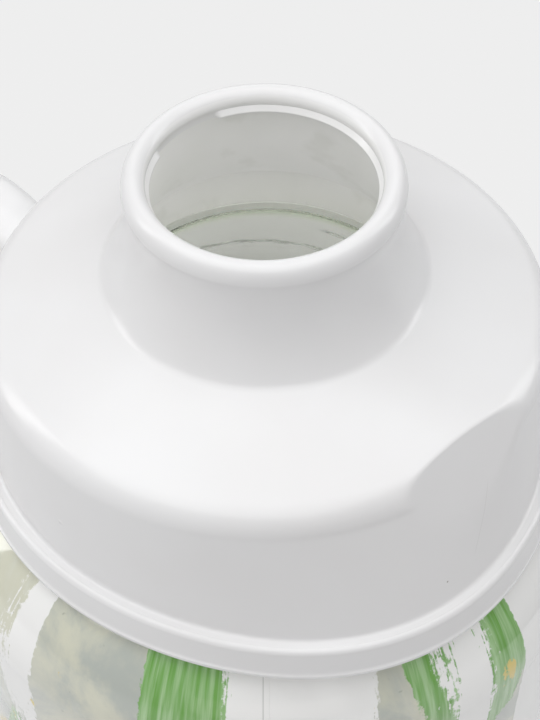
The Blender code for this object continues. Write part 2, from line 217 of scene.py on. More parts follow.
def makeFloor(settings):
    paint, tree, shader = newMaterial("paleFloor")
    shader.inputs["Base Color"].default_value = settings["floorColour"]
    shader.inputs["Roughness"].default_value = settings["floorRoughness"]
    glow = addNode(tree, "ShaderNodeEmission", None, Color=settings["backgroundColour"])
    dim = addNode(tree, "ShaderNodeEmission", None, Color=settings["floorMirrored"])
    path = addNode(tree, "ShaderNodeLightPath").outputs
    shown = sums(tree, "MULTIPLY", path["Is Camera Ray"], 1.0 - settings["floorShown"])
    share = sums(tree, "MULTIPLY", path["Is Glossy Ray"], settings["mirroredShare"])
    lit = layered(tree, shown, shader.outputs[0], glow.outputs[0])
    surfaced(tree, layered(tree, share, lit, dim.outputs[0]))
    half = settings["floorSize"] / 2
    corners = [(-half, -half), (half, -half), (half, half), (-half, half)]
    makeSheet("floor", [(x, y, -settings["floorGap"]) for x, y in corners], paint)


def makeBoard(board):
    paint, tree, shader = newMaterial("darkBoard")
    shader.inputs["Base Color"].default_value = board["colour"]
    shader.inputs["Roughness"].default_value = board["roughness"]
    ends = []
    for turn in (board["from"], board["to"]):
        a = math.radians(turn)
        ends.append((board["reach"] * math.cos(a), board["reach"] * math.sin(a)))
    corners = [(*end, 0.0) for end in ends] + [(*end, board["height"]) for end in reversed(ends)]
    makeSheet("darkBoard", corners, paint).visible_camera = False


def makeLamps(lampList):
    for name, place, target, width, height, watts, colour in lampList:
        data = bpy.data.lights.new(name, "AREA")
        data.shape = "RECTANGLE"
        data.size = width
        data.size_y = height
        data.energy = watts
        data.color = colour
        lamp = placed(bpy.data.objects.new(name, data))
        look = Vector(target) - Vector(place)
        lamp.matrix_world = Matrix.Translation(place) @ aimed(look)


makeBackground(studio)
makeFloor(studio)
makeBoard(darkBoard)
makeLamps(lamps)
print("floor and lamps placed")


# Mesh helpers
def arc(centre, radius, start, end, step=7.0):
    # angles in degrees, from outwards towards up
    count = max(1, math.ceil(abs(end - start) / step))
    points = []
    for i in range(count + 1):
        angle = math.radians(start + (end - start) * i / count)
        points.append((centre[0] + radius * math.cos(angle), centre[1] + radius * math.sin(angle)))
    return points


def rounded(corners, step=12.0):
    # a line through corners (x, z, radius), each corner with its own rounding
    points = []
    for i, (x, z, radius) in enumerate(corners):
        here = Vector((x, z))
        if radius == 0.0 or i == 0 or i == len(corners) - 1:
            points.append((x, z))
            continue
        back = (Vector(corners[i - 1][:2]) - here).normalized()
        ahead = (Vector(corners[i + 1][:2]) - here).normalized()
        half = back.angle(ahead) / 2
        run = radius / math.tan(half)
        centre = here + (back + ahead).normalized() * (radius / math.sin(half))
        first = here + back * run - centre
        last = here + ahead * run - centre
        start = math.degrees(math.atan2(first.y, first.x))
        end = math.degrees(math.atan2(last.y, last.x))
        end = start + (end - start + 180.0) % 360.0 - 180.0
        points += arc(centre, radius, start, end, step)
    return points


def spaced(points, gap):
    # the same line with more points, none further apart than the gap
    line = [points[0]]
    for x, z in points[1:]:
        last = line[-1]
        count = max(1, math.ceil(math.hypot(x - last[0], z - last[1]) / gap))
        for i in range(1, count + 1):
            share = i / count
            line.append((last[0] + (x - last[0]) * share, last[1] + (z - last[1]) * share))
    return line


def skinned(name, rows, body, finish, ring=False, sharp=40.0):
    # rows of points round the axis, from the top down the outside; a row of one point is a pole,
    # and ring joins the last row to the first
    vertices = []
    starts = []
    for row in rows:
        starts.append(len(vertices))
        vertices += [tuple(point) for point in row]
    faces = []
    pairs = list(zip(range(len(rows) - 1), range(1, len(rows))))
    if ring:
        pairs.append((len(rows) - 1, 0))
    for a, b in pairs:
        count = max(len(rows[a]), len(rows[b]))
        for i in range(count):
            j = (i + 1) % count
            if len(rows[a]) == 1:
                faces.append((starts[a], starts[b] + i, starts[b] + j))
            elif len(rows[b]) == 1:
                faces.append((starts[a] + j, starts[a] + i, starts[b]))
            else:
                faces.append((starts[a] + j, starts[a] + i, starts[b] + i, starts[b] + j))
    mesh = bpy.data.meshes.new(name)
    mesh.from_pydata(vertices, [], faces)
    mesh.update()
    mesh.shade_smooth()
    mesh.set_sharp_from_angle(angle=math.radians(sharp))
    mesh.materials.append(finish)
    made = placed(bpy.data.objects.new(name, mesh))
    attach(made, body)
    return made


def turnedRow(x, z, angles):
    return [(x * math.cos(a), x * math.sin(a), z) for a in angles]


def quarter(edge, level, span, height, top=90.0, steps=24):
    # an elliptic shoulder from the side at the level up and inwards
    points = []
    for i in range(steps + 1):
        a = math.radians(top * i / steps)
        points.append((edge + span * math.cos(a), level + height * math.sin(a)))
    return points


def evenAngles(count):
    return [2 * math.pi * i / count for i in range(count)]


def smooth(value):
    value = min(1.0, max(0.0, value))
    return value * value * (3 - 2 * value)


# White plastic of the screw top and the handle
whitePlastic = {
    "colour": (0.80, 0.80, 0.803, 1.0),
    "shade": (0.775, 0.77, 0.770, 1.0),
    "speckColour": (0.35, 0.33, 0.30, 1.0),
    "cloudSize": 26.0,
    "roughness": 0.24,
    "roughSpread": (-0.03, 0.04),
    "refraction": 1.49,
    "rippleSize": 90.0,
    "rippleDepth": 0.00002,
    "grainSize": 2600.0,
    "grainShare": 0.06,                  # of the ripple's depth
    "speckSize": 420.0,
    "speckShare": (0.9985, 0.9990),      # only the cells over this have a speck
    "flowLean": 0.55,                    # sideways for each metre up
    "flowPlace": 0.1200,
    "flowWidth": 0.00010,
    "flowFoot": (0.2090, 0.2110),        # heights where the flow line fades in and out
    "flowHead": (0.2210, 0.2190),
    "flowDark": 0.12,
    "flowDeep": 0.8,                     # times the ripple's depth
    "nubAt": (0.00166, -0.04757, 0.2136),
    "nubRadius": 0.0007,
    "nubHigh": 6.0,                      # times the ripple's depth
    "letThrough": 0.0,                   # share of light that comes through the wall
    "reflectionSmudges": 0.0,                        # strength of the painted reflection smudges, darker blotches that stand in for reflections on the bore
    "reflectionSmudgeSize": 95.0,
    "reflectionSmudgeColour": (0.60, 0.60, 0.54, 1.0),
}

# Lit copies of the same white plastic for the inner faces. Their colours are painted lighter than
# the outside's as painted light, so the shaded bore, underside and lip render brighter
paintedLitBoreLook = dict(
    whitePlastic,
    colour=(0.88, 0.875, 0.86, 1.0),
    shade=(0.80, 0.805, 0.765, 1.0),
    letThrough=0.50,
    reflectionSmudges=0.20,
)

# painted light: the top's underside is painted lighter still than the bore
paintedLitUnderLook = dict(
    whitePlastic,
    colour=(0.93, 0.93, 0.915, 1.0),
    shade=(0.89, 0.89, 0.87, 1.0),
    letThrough=0.85,
)

# painted light: the bead's lip is painted a little lighter than the outside
paintedLitLipLook = dict(whitePlastic, colour=(0.85, 0.85, 0.845, 1.0), shade=(0.83, 0.825, 0.82, 1.0))


def flowLine(tree, look, place):
    # a faint line down the scoop, left by the plastic as it filled the mould
    split = addNode(tree, "ShaderNodeSeparateXYZ", None, Vector=place).outputs
    across = sums(tree, "MULTIPLY_ADD", split[2], -look["flowLean"], split[1])
    away = sums(tree, "ABSOLUTE", sums(tree, "ADD", across, look["flowPlace"]))
    line = ramp(tree, away, look["flowWidth"], look["flowWidth"] * 0.3)
    line = sums(tree, "MULTIPLY", line, sums(tree, "GREATER_THAN", split[0], 0.0))
    for low, high in (look["flowFoot"], look["flowHead"]):
        line = sums(tree, "MULTIPLY", line, ramp(tree, split[2], low, high))
    return line


def makeWhitePlastic(name, look, side):
    # side is outer or inner for the walls of the top, and solid for the handle
    finish, tree, shader = newMaterial(name)
    place = addNode(tree, "ShaderNodeTexCoord").outputs["Object"]
    wide = cloud(tree, place, look["cloudSize"], 3.0, 0.5)
    colour = blendColour(tree, ramp(tree, wide, 0.35, 0.70), look["colour"], look["shade"])
    specks = addNode(tree, "ShaderNodeTexVoronoi", None, Vector=place, Scale=look["speckSize"])
    dot = ramp(tree, specks.outputs["Distance"], 0.10, 0.04)
    chance = addNode(tree, "ShaderNodeSeparateColor", None, Color=specks.outputs["Color"])
    dot = sums(tree, "MULTIPLY", dot, ramp(tree, chance.outputs[0], *look["speckShare"]))
    colour = blendColour(tree, dot, colour, look["speckColour"])
    ripple = cloud(tree, place, look["rippleSize"], 2.0, 0.4)
    grain = cloud(tree, place, look["grainSize"], 1.0, 0.5)
    height = sums(tree, "MULTIPLY_ADD", grain, look["grainShare"], ripple)
    if side == "outer":
        line = flowLine(tree, look, place)
        dark = sums(tree, "MULTIPLY", line, look["flowDark"])
        colour = blendColour(tree, dark, colour, look["speckColour"])
        # a small nub on the wall
        away = addNode(tree, "ShaderNodeVectorMath", {"operation": "DISTANCE"}, n0=place)
        plug(tree, away, "n1", look["nubAt"])
        nub = ramp(tree, away.outputs[1], look["nubRadius"], 0.0)
        height = sums(tree, "MULTIPLY_ADD", nub, look["nubHigh"], height)
        height = sums(tree, "MULTIPLY_ADD", line, -look["flowDeep"], height)
    # painted reflection: darker blotches mixed into the colour stand in for the smudgy reflections
    # seen on the bore's glossy wall
    if look["reflectionSmudges"]:
        reflectionSmudges = ramp(tree, cloud(tree, place, look["reflectionSmudgeSize"], 3.0, 0.55), 0.54, 0.66)
        smudged = sums(tree, "MULTIPLY", reflectionSmudges, look["reflectionSmudges"])
        colour = blendColour(tree, smudged, colour, look["reflectionSmudgeColour"])
    tree.links.new(colour, shader.inputs["Base Color"])
    rough = addNode(tree, "ShaderNodeMapRange", None, Value=wide)
    plug(tree, rough, "To Min", look["roughness"] + look["roughSpread"][0])
    plug(tree, rough, "To Max", look["roughness"] + look["roughSpread"][1])
    tree.links.new(rough.outputs[0], shader.inputs["Roughness"])
    shader.inputs["IOR"].default_value = look["refraction"]
    bumped(tree, shader, height, look["rippleDepth"])
    if side == "inner":
        clearFromBehind(tree, glowing(tree, shader, colour, look["letThrough"]))
    elif side == "outer":
        clearFromBehind(tree, shader.outputs[0])
    return finish


topPlastic = makeWhitePlastic("whiteGlossyPlastic", whitePlastic, "outer")
borePlastic = makeWhitePlastic("whiteBorePlastic", paintedLitBoreLook, "inner")
underPlastic = makeWhitePlastic("whiteUnderPlastic", paintedLitUnderLook, "inner")
lipPlastic = makeWhitePlastic("whiteLipPlastic", paintedLitLipLook, "inner")
handlePlastic = makeWhitePlastic("whiteHandlePlastic", whitePlastic, "solid")


# Screw top. Sizes are metres, from the bottle's foot, and angles are degrees from the scoop
topShape = {
    "beadZ": 0.2535, "beadRing": 0.0201, "beadTube": 0.0019,
    "beadDepth": 0.0027, "beadSquare": 2.1, "beadEnd": 18.0, "neckTop": 0.02145,
    "chimneyTop": 0.0212, "chimneyWall": 0.0018,
    "neckZ": 0.2350, "neckRadius": 0.0263, "neckFillet": 0.0024, "flarePower": 2.2,
    "flareSteps": 24, "throatSteps": 16,
    "ringRadius": 0.04171, "ringZ": 0.22429, "ringRounding": 0.0050,
    "wallFoot": 0.0477, "wall": 0.0022,
    "flangeTop": 0.20525, "flangeBottom": 0.19835, "flangeRadius": 0.0509,
    "flangeDrop": 0.0006, "flangeRounding": 0.0010, "flangeDraft": 0.0005, "flangeRoot": 0.0008,
    "flangeEdge": 0.0004, "flangeLip": 0.0003, "flangeLipHeight": 0.0009, "flangeFall": 0.00005,
    "skirtRadius": 0.0349, "skirtEnd": 0.2035, "threadBore": 0.0327,
    "landZ": 0.2231, "landRadius": 0.0279,
    "ledgeDrop": 0.0013, "ledgeHeight": 0.0003, "ledgeReach": 0.0018, "ledgeStep": 0.0003,
    "ledgeRounding": 0.0001, "ledgeGapHalf": 0.0065, "ledgeGapReach": 0.0011,
    "beadRows": 9,      # rows of the bead's inner side that keep the outer plastic
    "innerDrop": 0.0035, "innerRounding": 0.0010,
    "lobeReach": 0.0047, "lobeAngle": -20.0, "lobeSpread": 36.0,
    "scoopAngle": -2.0, "scoopHalf": 45.0, "scoopRadius": 0.200, "scoopFoot": 0.0540,
    "scoopBrow": 0.0427, "scoopBrowZ": 0.2290, "scoopEdge": 0.0005, "scoopReach": 0.0040,
    "rowGap": 0.0004, "neckGap": 0.0007, "innerGap": 0.0016,      # spacing of the rows
    "fineStep": 0.36, "coarseStep": 1.8, "fineHalf": 30.0,        # spacing of the columns
}


def domeTilt(s):
    # slope of the straight dome between the neck's foot and the rounded shoulder
    across = s["ringRadius"] - s["neckRadius"]
    down = s["ringZ"] - s["neckZ"]
    return math.asin(s["ringRounding"] / math.hypot(across, down)) + math.atan2(down, across)


def domeZ(s, radius, inset):
    tilt = domeTilt(s)
    return s["neckZ"] + (radius - s["neckRadius"]) * math.tan(tilt) - inset / math.cos(tilt)


def wallLine(s, inset, bottom):
    # the rounded shoulder and the drafted wall below it
    tilt = math.degrees(domeTilt(s))
    draft = s["wallFoot"] - s["ringRadius"] - s["ringRounding"]
    lean = math.degrees(math.atan2(draft, s["ringZ"] - s["flangeTop"]))
    points = arc((s["ringRadius"], s["ringZ"]), s["ringRounding"] - inset, 90.0 + tilt, lean, 4.0)
    points.append((s["wallFoot"] - inset, bottom))
    return points


def lobeOut(s, angle, x, z):
    # the wall and flange swell beside the pouring side
    if x < s["ringRadius"] or z > s["ringZ"]:
        return 0.0
    turn = angle - math.radians(s["lobeAngle"])
    turn = math.atan2(math.sin(turn), math.cos(turn)) / math.radians(s["lobeSpread"])
    depth = min(1.0, (s["ringZ"] - z) / (s["ringZ"] - s["flangeTop"]))
    return s["lobeReach"] * depth * math.exp(-turn * turn)


def scoopLimit(s, angle, z, inset):
    # how far out the pressed scoop lets the shell reach
    turn = angle - math.radians(s["scoopAngle"])
    turn = math.atan2(math.sin(turn), math.cos(turn))
    if abs(turn) > math.radians(s["scoopHalf"]):
        return 1.0
    rise = s["scoopBrowZ"] - s["flangeTop"]
    lean = math.atan2(s["scoopFoot"] - s["scoopBrow"], rise)
    radius = s["scoopFoot"]
    curve = s["scoopRadius"] + inset
    for _ in range(6):
        across = radius * math.sin(turn)
        hollow = s["scoopRadius"] - math.sqrt(curve * curve - across * across)
        out = (hollow - (z - s["flangeTop"]) * math.sin(lean)) / math.cos(lean) + s["scoopFoot"]
        radius = out / math.cos(turn)
    return radius


def softLeast(a, b, edge):
    # the smaller of two reaches, rounded where they cross
    near = max(edge - abs(a - b), 0.0) / edge
    return min(a, b) - near * near * edge / 4


def beadLine(s):
    # outer side of the bead from its top, with the hollow below it that fades into the chimney
    power = 2.0 / s["beadSquare"]
    middle = s["beadZ"] + s["beadTube"] - s["beadDepth"]
    points = []
    for i in range(19):
        turn = math.radians(90.0 - 5.0 * i)
        x = s["beadRing"] + s["beadTube"] * math.cos(turn) ** power
        points.append((x, middle + s["beadDepth"] * math.sin(turn) ** power))
    end = s["beadEnd"]
    points += arc((s["beadRing"], middle), s["beadTube"], 0.0, -end, 4.0)[1:]
    lean = math.radians(end)
    fade = (points[-1][0] - s["neckTop"]) / (1.0 - math.cos(lean))
    hollow = (points[-1][0] + fade * math.cos(lean), points[-1][1] - fade * math.sin(lean))
    return points + arc(hollow, fade, 180.0 - end, 180.0, 2.0)[1:]


def chimneyLine(s, startZ):
    # flared outside of the chimney, from the bead down
    points = []
    for i in range(1, s["flareSteps"] + 1):
        share = i / s["flareSteps"]
        x = s["neckTop"] + (s["neckRadius"] - s["neckTop"]) * share ** s["flarePower"]
        points.append((x, startZ + (s["neckZ"] - startZ) * share))
    return points


def flangeLine(s, wall):
    # crown of the flange, its bevelled side and its lip
    crown = s["flangeTop"] - s["flangeDrop"]
    rounding, lip, edge = s["flangeRounding"], s["flangeLip"], s["flangeEdge"]
    rim = s["flangeRadius"] - rounding - s["flangeDraft"] - lip
    lipTop = s["flangeBottom"] + s["flangeLipHeight"]
    root = (s["wallFoot"], crown, s["flangeRoot"])
    line = rounded([(*wall[-2], 0.0), root, (rim, crown - s["flangeFall"], 0.0)], 10.0)[1:]
    line += arc((rim, crown - rounding), rounding, 87.0, 0.0, 6.0)
    line += [(s["flangeRadius"] - lip, lipTop + lip), (s["flangeRadius"], lipTop)]
    foot = (s["flangeRadius"] - edge, s["flangeBottom"] + edge)
    return line + arc(foot, edge, 0.0, -90.0, 15.0)


def innerWallLine(s):
    # inside of flange, wall and dome, upwards
    bore = s["flangeRadius"] - s["wall"]
    wall = wallLine(s, s["wall"], s["flangeTop"] - s["flangeRoot"])
    corners = [
        (bore, s["flangeBottom"], 0.0),
        (bore, s["flangeTop"] - s["innerDrop"], s["innerRounding"]),
        (*wall[-1], s["innerRounding"]),
        (*wall[-2], 0.0),
    ]
    return rounded(corners, 20.0) + wall[:-2][::-1]


def throatLine(s, boreTop, top):
    # the chimney's bore, from the dome's inside up to the ledge
    boreFoot = s["neckRadius"] - s["chimneyWall"]
    footZ = domeZ(s, boreFoot, s["wall"])
    points = []
    for i in range(s["throatSteps"] + 1):
        share = 1.0 - i / s["throatSteps"]
        x = boreTop + (boreFoot - boreTop) * share * share
        points.append((x, top + (footZ - top) * share))
    return points


def topProfile(s):
    # (x, z, kind, inset) down the outside, then up the bore
    bead = beadLine(s)
    chimney = chimneyLine(s, bead[-1][1])
    wall = wallLine(s, 0.0, s["flangeTop"])
    neck = [(*chimney[-3], 0.0), (*chimney[-1], s["neckFillet"]), (*wall[0], 0.0)]
    outside = bead + chimney[:-3] + rounded(neck, 8.0)[:-1]
    inward = wall[0][0] - s["scoopReach"]
    shell = [(inward, domeZ(s, inward, 0.0))] + wall[:-1] + flangeLine(s, wall)
    skirt, thread, land = s["skirtRadius"], s["threadBore"], s["landRadius"]
    under = [(skirt, domeZ(s, skirt, s["wall"])), (skirt, s["skirtEnd"])]
    under += [(thread, s["skirtEnd"]), (thread, s["landZ"])]
    landed = [(land, s["landZ"]), (land, domeZ(s, land, s["wall"]))]
    boreTop = s["chimneyTop"] - s["chimneyWall"]
    ledgeTop = s["beadZ"] - s["ledgeDrop"]
    ledgeFoot = ledgeTop - s["ledgeHeight"]
    throat = throatLine(s, boreTop, ledgeFoot - s["ledgeStep"])
    beadIn = arc((s["beadRing"], s["beadZ"]), s["beadTube"], 195.0, 90.0, 6.0)[:-1]
    ledge = rounded([
        (*throat[-1], 0.0),
        (boreTop - s["ledgeReach"], ledgeFoot, s["ledgeRounding"]),
        (boreTop - s["ledgeReach"], ledgeTop, s["ledgeRounding"]),
        (*beadIn[0], 0.0),
    ], 20.0)[1:-1]
    parts = (
        (spaced(outside, s["neckGap"]), "plain", 0.0),
        (spaced(shell, s["rowGap"]), "shell", 0.0),
        (spaced(innerWallLine(s), s["innerGap"]), "under", s["wall"]),
        (under, "under", 0.0),
        (landed + throat, "bore", 0.0),
        (ledge, "ledge", 0.0),
        (beadIn, "plain", 0.0),
    )
    return [(x, z, kind, inset) for line, kind, inset in parts for x, z in line]


def topAngles(s):
    angles = []
    turn = -180.0
    while turn < 180.0 - 1e-6:
        angles.append(math.radians(turn))
        turn += s["fineStep"] if -s["fineHalf"] <= turn < s["fineHalf"] else s["coarseStep"]
    return angles


def topRadius(s, x, z, kind, inset, angle):
    if kind in ("shell", "under") and x > s["skirtRadius"]:
        radius = x + lobeOut(s, angle, x + inset, z)
        if z > s["flangeTop"]:
            return softLeast(radius, scoopLimit(s, angle, z, inset) - inset, s["scoopEdge"])
        return radius
    if kind == "ledge":
        # two gaps in the ledge, on either side of the pouring direction
        gap = smooth((s["ledgeGapHalf"] - abs(x * math.sin(angle))) / s["scoopEdge"])
        rest = s["chimneyTop"] - s["chimneyWall"] - s["ledgeGapReach"]
        return x + (max(x, rest) - x) * gap
    return x


def makeScrewTop(s, outer, bore, under, lip):
    angles = topAngles(s)
    profile = topProfile(s)
    rows = []
    for x, z, kind, inset in profile:
        reach = [(topRadius(s, x, z, kind, inset, a), a) for a in angles]
        rows.append([(r * math.cos(a), r * math.sin(a), z) for r, a in reach])
    made = skinned("whiteScrewTop", rows, "top", outer, ring=True)
    for finish in (bore, under, lip):
        made.data.materials.append(finish)
    kinds = [kind for _, _, kind, _ in profile]
    underStart, boreStart = kinds.index("under"), kinds.index("bore")
    lipStart, lipEnd = kinds.index("ledge") - 1, len(rows) - s["beadRows"]
    for face in made.data.polygons:
        row = face.index // len(angles)
        if lipStart <= row < lipEnd:
            face.material_index = 3
        elif underStart <= row < lipStart:
            face.material_index = 2 if row < boreStart else 1
    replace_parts(made, "screw_top")


makeScrewTop(topShape, topPlastic, borePlastic, underPlastic, lipPlastic)
print("screw top made")


# Handle. The line runs from its root in the wall over the bend to the tip
handleShape = {
    "width": 0.0132, "thickness": 0.0075, "rootX": -0.0423, "rootZ": 0.2075,
    "armDrop": 0.0076, "armRise": 0.0020, "gripX": -0.0910, "bend": 0.0160, "pull": 0.0088,
    "flareX": -0.0613, "rootShare": 1.15, "heelShare": 0.80, "tipShare": 0.35,
    "gripLength": 0.0860, "tipSweep": 0.0050, "tipLength": 0.0045,
    "standOff": 0.0330, "rootDepth": 0.0060,
    "steps": 18, "sides": 48, "squareness": 2.1,
}


def handleLine(h, flangeTop):
    armZ = flangeTop - h["armDrop"]
    bendZ = armZ + h["armRise"]
    turn = (h["gripX"], bendZ - h["bend"])
    heel = (h["gripX"] + h["tipSweep"], turn[1] - h["gripLength"])
    down = Vector((h["tipSweep"], -h["gripLength"])).normalized()
    tip = (heel[0] + down.x * h["tipLength"], heel[1] + down.y * h["tipLength"])
    rise = Vector((-1.0, h["armRise"] / h["standOff"])).normalized() * h["pull"]
    path = (
        ((h["rootX"], h["rootZ"]), Vector((-h["rootDepth"], 0.0)), h["rootShare"]),
        ((h["flareX"], armZ), rise, 1.0),
        ((h["gripX"] + h["bend"], bendZ), rise, 1.0),
        (turn, Vector((0.0, -h["pull"])), 1.0),
        (heel, down * h["tipLength"] / 2, h["heelShare"]),
        (tip, down * h["tipLength"] / 2, h["tipShare"]),
    )
    line = []
    for (a, pullA, shareA), (b, pullB, shareB) in zip(path, path[1:]):
        a, b = Vector(a), Vector(b)
        for i in range(h["steps"]):
            t = i / h["steps"]
            u = 1 - t
            place = a * u**3 + (a + pullA) * 3 * u * u * t + (b - pullB) * 3 * u * t * t + b * t**3
            line.append((place, shareA + (shareB - shareA) * smooth(t)))
    line.append((Vector(path[-1][0]), path[-1][2]))
    return line


def squared(value, power):
    return math.copysign(abs(value) ** power, value)


def makeHandle(h, flangeTop, finish):
    line = handleLine(h, flangeTop)
    power = 2 / h["squareness"]
    rows = []
    last = len(line) - 1
    for i, (place, share) in enumerate(line):
        ahead = (line[min(i + 1, last)][0] - line[max(i - 1, 0)][0]).normalized()
        side = Vector((-ahead.y, ahead.x))
        row = []
        for angle in evenAngles(h["sides"]):
            across = squared(math.cos(angle), power) * h["width"] / 2 * share
            out = squared(math.sin(angle), power) * h["thickness"] / 2 * share
            point = place + side * out
            row.append((point.x, -across, point.y))
        rows.append(row)
    poles = []
    for row in (rows[0], rows[-1]):
        poles.append([tuple(sum(p[k] for p in row) / len(row) for k in range(3))])
    rows = [poles[0]] + rows + [poles[1]]
    made = skinned("whiteHandle", rows, "top", finish)
    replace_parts(made, "handle")


makeHandle(handleShape, topShape["flangeTop"], handlePlastic)
print("handle made")


# Glass
glassLook = {
    "colour": (0.974, 0.986, 0.958, 1.0),
    "shadow": (0.975, 0.985, 0.965, 1.0),
    "roughness": 0.02,
    "refraction": 1.5,
    "seedSize": 34.0,
    "seedDepth": 0.00003,
    "rimColour": (0.74, 0.86, 0.62, 1.0), "rimFrom": 0.2192, "rimTo": 0.2210,
    "neckRoughness": 0.16, "neckFrom": 0.2000, "neckTo": 0.2030,
}


def makeGlassMaterial(look):
    finish, tree, shader = newMaterial("greenishGlass")
    place = addNode(tree, "ShaderNodeTexCoord").outputs["Object"]
    z = addNode(tree, "ShaderNodeSeparateXYZ", None, Vector=place).outputs["Z"]
    green = ramp(tree, z, look["rimFrom"], look["rimTo"])
    colour = blendColour(tree, green, look["colour"], look["rimColour"])
    tree.links.new(colour, shader.inputs["Base Color"])
    # the neck inside the top is a little misty, the rest clear
    neck = ramp(tree, z, look["neckFrom"], look["neckTo"])
    misty = sums(tree, "MULTIPLY", neck, look["neckRoughness"])
    tree.links.new(sums(tree, "ADD", misty, look["roughness"]), shader.inputs["Roughness"])
    shader.inputs["IOR"].default_value = look["refraction"]
    shader.inputs["Transmission Weight"].default_value = 1.0
    bumped(tree, shader, cloud(tree, place, look["seedSize"], 2.0, 0.4), look["seedDepth"])
    clear = addNode(tree, "ShaderNodeBsdfTransparent", None, Color=look["shadow"]).outputs[0]
    shaded = addNode(tree, "ShaderNodeLightPath").outputs["Is Shadow Ray"]
    surfaced(tree, layered(tree, shaded, shader.outputs[0], clear))
    return finish


glassShape = {
    "bodyRadius": 0.058, "bodyHeight": 0.180, "footRadius": 0.0555, "footRounding": 0.005,
    "shoulderHeight": 0.021, "shoulderSpan": 0.022, "wall": 0.0032, "floor": 0.006,
    "finishRadius": 0.0312, "finishWall": 0.0034, "finishHeight": 0.0202,
    "finishRoot": 0.0018, "rimRounding": 0.0009,
    "threadHeight": 0.0010, "threadHalf": 0.0011, "threadLead": 0.010, "threadStarts": 2,
    "threadTurn": 300.0, "threadFade": 25.0, "threadFoot": 0.2070, "threadFlank": 1.6,
    "columns": 180, "sideGap": 0.02, "boreGap": 0.004, "threadGap": 0.00035,
}


def threadOut(g, angle, z):
    # height of the two-start thread on the glass finish
    best = 0.0
    for start in range(g["threadStarts"]):
        turn = (math.degrees(angle) - 360.0 * start / g["threadStarts"]) % 360.0
        fade = smooth(turn / g["threadFade"]) * smooth((g["threadTurn"] - turn) / g["threadFade"])
        centre = g["threadFoot"] + g["threadLead"] * turn / 360.0
        away = abs(z - centre) / g["threadHalf"]
        best = max(best, fade * smooth(g["threadFlank"] * (1.0 - away)))
    return best * g["threadHeight"]


def glassOutside(g):
    edge, rounding, root = g["bodyRadius"] - g["shoulderSpan"], g["footRounding"], g["finishRoot"]
    top = g["bodyHeight"] + g["shoulderHeight"]
    line = [(0.0, 0.0)] + arc((g["footRadius"] - rounding, rounding), rounding, -90.0, 0.0)
    line += spaced([line[-1], (g["bodyRadius"], g["bodyHeight"])], g["sideGap"])[1:]
    line += quarter(edge, g["bodyHeight"], g["shoulderSpan"], g["shoulderHeight"])[1:]
    return line + arc((g["finishRadius"] + root, top + root), root, 270.0, 180.0)


def glassInside(g, finishTop):
    edge, rounding = g["bodyRadius"] - g["shoulderSpan"], g["footRounding"]
    bore = g["finishRadius"] - g["finishWall"]
    foot = g["bodyHeight"] + g["shoulderHeight"] - g["wall"] + g["finishRoot"]
    line = arc((bore + g["rimRounding"], finishTop), g["rimRounding"], 90.0, 180.0, 10.0)
    line += spaced([line[-1], (bore, foot)], g["boreGap"])[1:]
    span, rise = g["shoulderSpan"] - g["wall"], g["shoulderHeight"] - g["wall"]
    shoulder = quarter(edge, g["bodyHeight"], span, rise)
    line += [(x, z) for x, z in reversed(shoulder) if x > bore]
    inner = g["footRadius"] - g["wall"]
    line += spaced([line[-1], (inner, g["floor"] + rounding)], g["sideGap"])[1:]
    line += arc((inner - rounding, g["floor"] + rounding), rounding, 0.0, -90.0)[1:]
    return line + [(0.0, g["floor"])]


def makeGlassBottle(g, finish):
    outside = glassOutside(g)
    rounding = g["rimRounding"]
    finishTop = g["bodyHeight"] + g["shoulderHeight"] + g["finishHeight"] - rounding
    threaded = spaced([outside[-1], (g["finishRadius"], finishTop)], g["threadGap"])[1:]
    rim = arc((g["finishRadius"] - rounding, finishTop), rounding, 0.0, 90.0, 10.0)[1:]
    angles = evenAngles(g["columns"])
    rows = []
    for x, z in outside + threaded + rim + glassInside(g, finishTop):
        if x == 0.0:
            rows.append([(0.0, 0.0, z)])
        elif (x, z) in threaded:
            row = [(x + threadOut(g, a, z), a) for a in angles]
            rows.append([(r * math.cos(a), r * math.sin(a), z) for r, a in row])
        else:
            rows.append(turnedRow(x, z, angles))
    rows.reverse()
    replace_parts(skinned("glassBody", rows, "bottle", finish), "glass_bottle")


makeGlassBottle(glassShape, makeGlassMaterial(glassLook))
print("glass made")


# Printed film round the glass: broad upright brush strokes on a mottled ground
printLook = {
    "jointAngle": -46.0,
    "jointWidth": 0.0011,     # overlap where the film's ends meet
    "radius": 0.055,          # unrolls the film to metres round it
    "ground": (0.650, 0.650, 0.530, 1.0),
    "groundDark": (0.460, 0.490, 0.450, 1.0),
    "mist": (0.740, 0.765, 0.730, 1.0),
    "white": (0.89, 0.89, 0.875, 1.0),
    "green": (0.150, 0.370, 0.070, 1.0),
    "greenPale": (0.400, 0.600, 0.320, 1.0),
    "ochre": (0.720, 0.560, 0.110, 1.0),
    "fleck": (0.10, 0.12, 0.09, 1.0),
    # each kind of stroke: patches to the metre across and along, shift, level, frayed, dry
    "leafStroke": (80.0, 14.0, 36.4, 0.540, 0.055, 0.05),
    "ochreDab": (120.0, 70.0, 40.7, 0.640, 0.10, 0.08),
    "whiteStroke": (85.0, 7.0, 19.3, 0.560, 0.06, 0.07),
    "roughness": 0.10,
    "varnish": 1.0, "varnishRoughness": 0.03,
    "inkDepth": 0.00003,
    "cutDark": 0.28,          # how dark the film's cut edge is
    "overlapPale": 0.30,      # how pale the overlap is
    "fleckDark": 0.35,
    "back": (0.98, 0.98, 0.95, 1.0),
    "backGreen": (0.90, 0.95, 0.84, 1.0),
    "backRoughness": 0.5,
    "letThrough": 0.9,
}


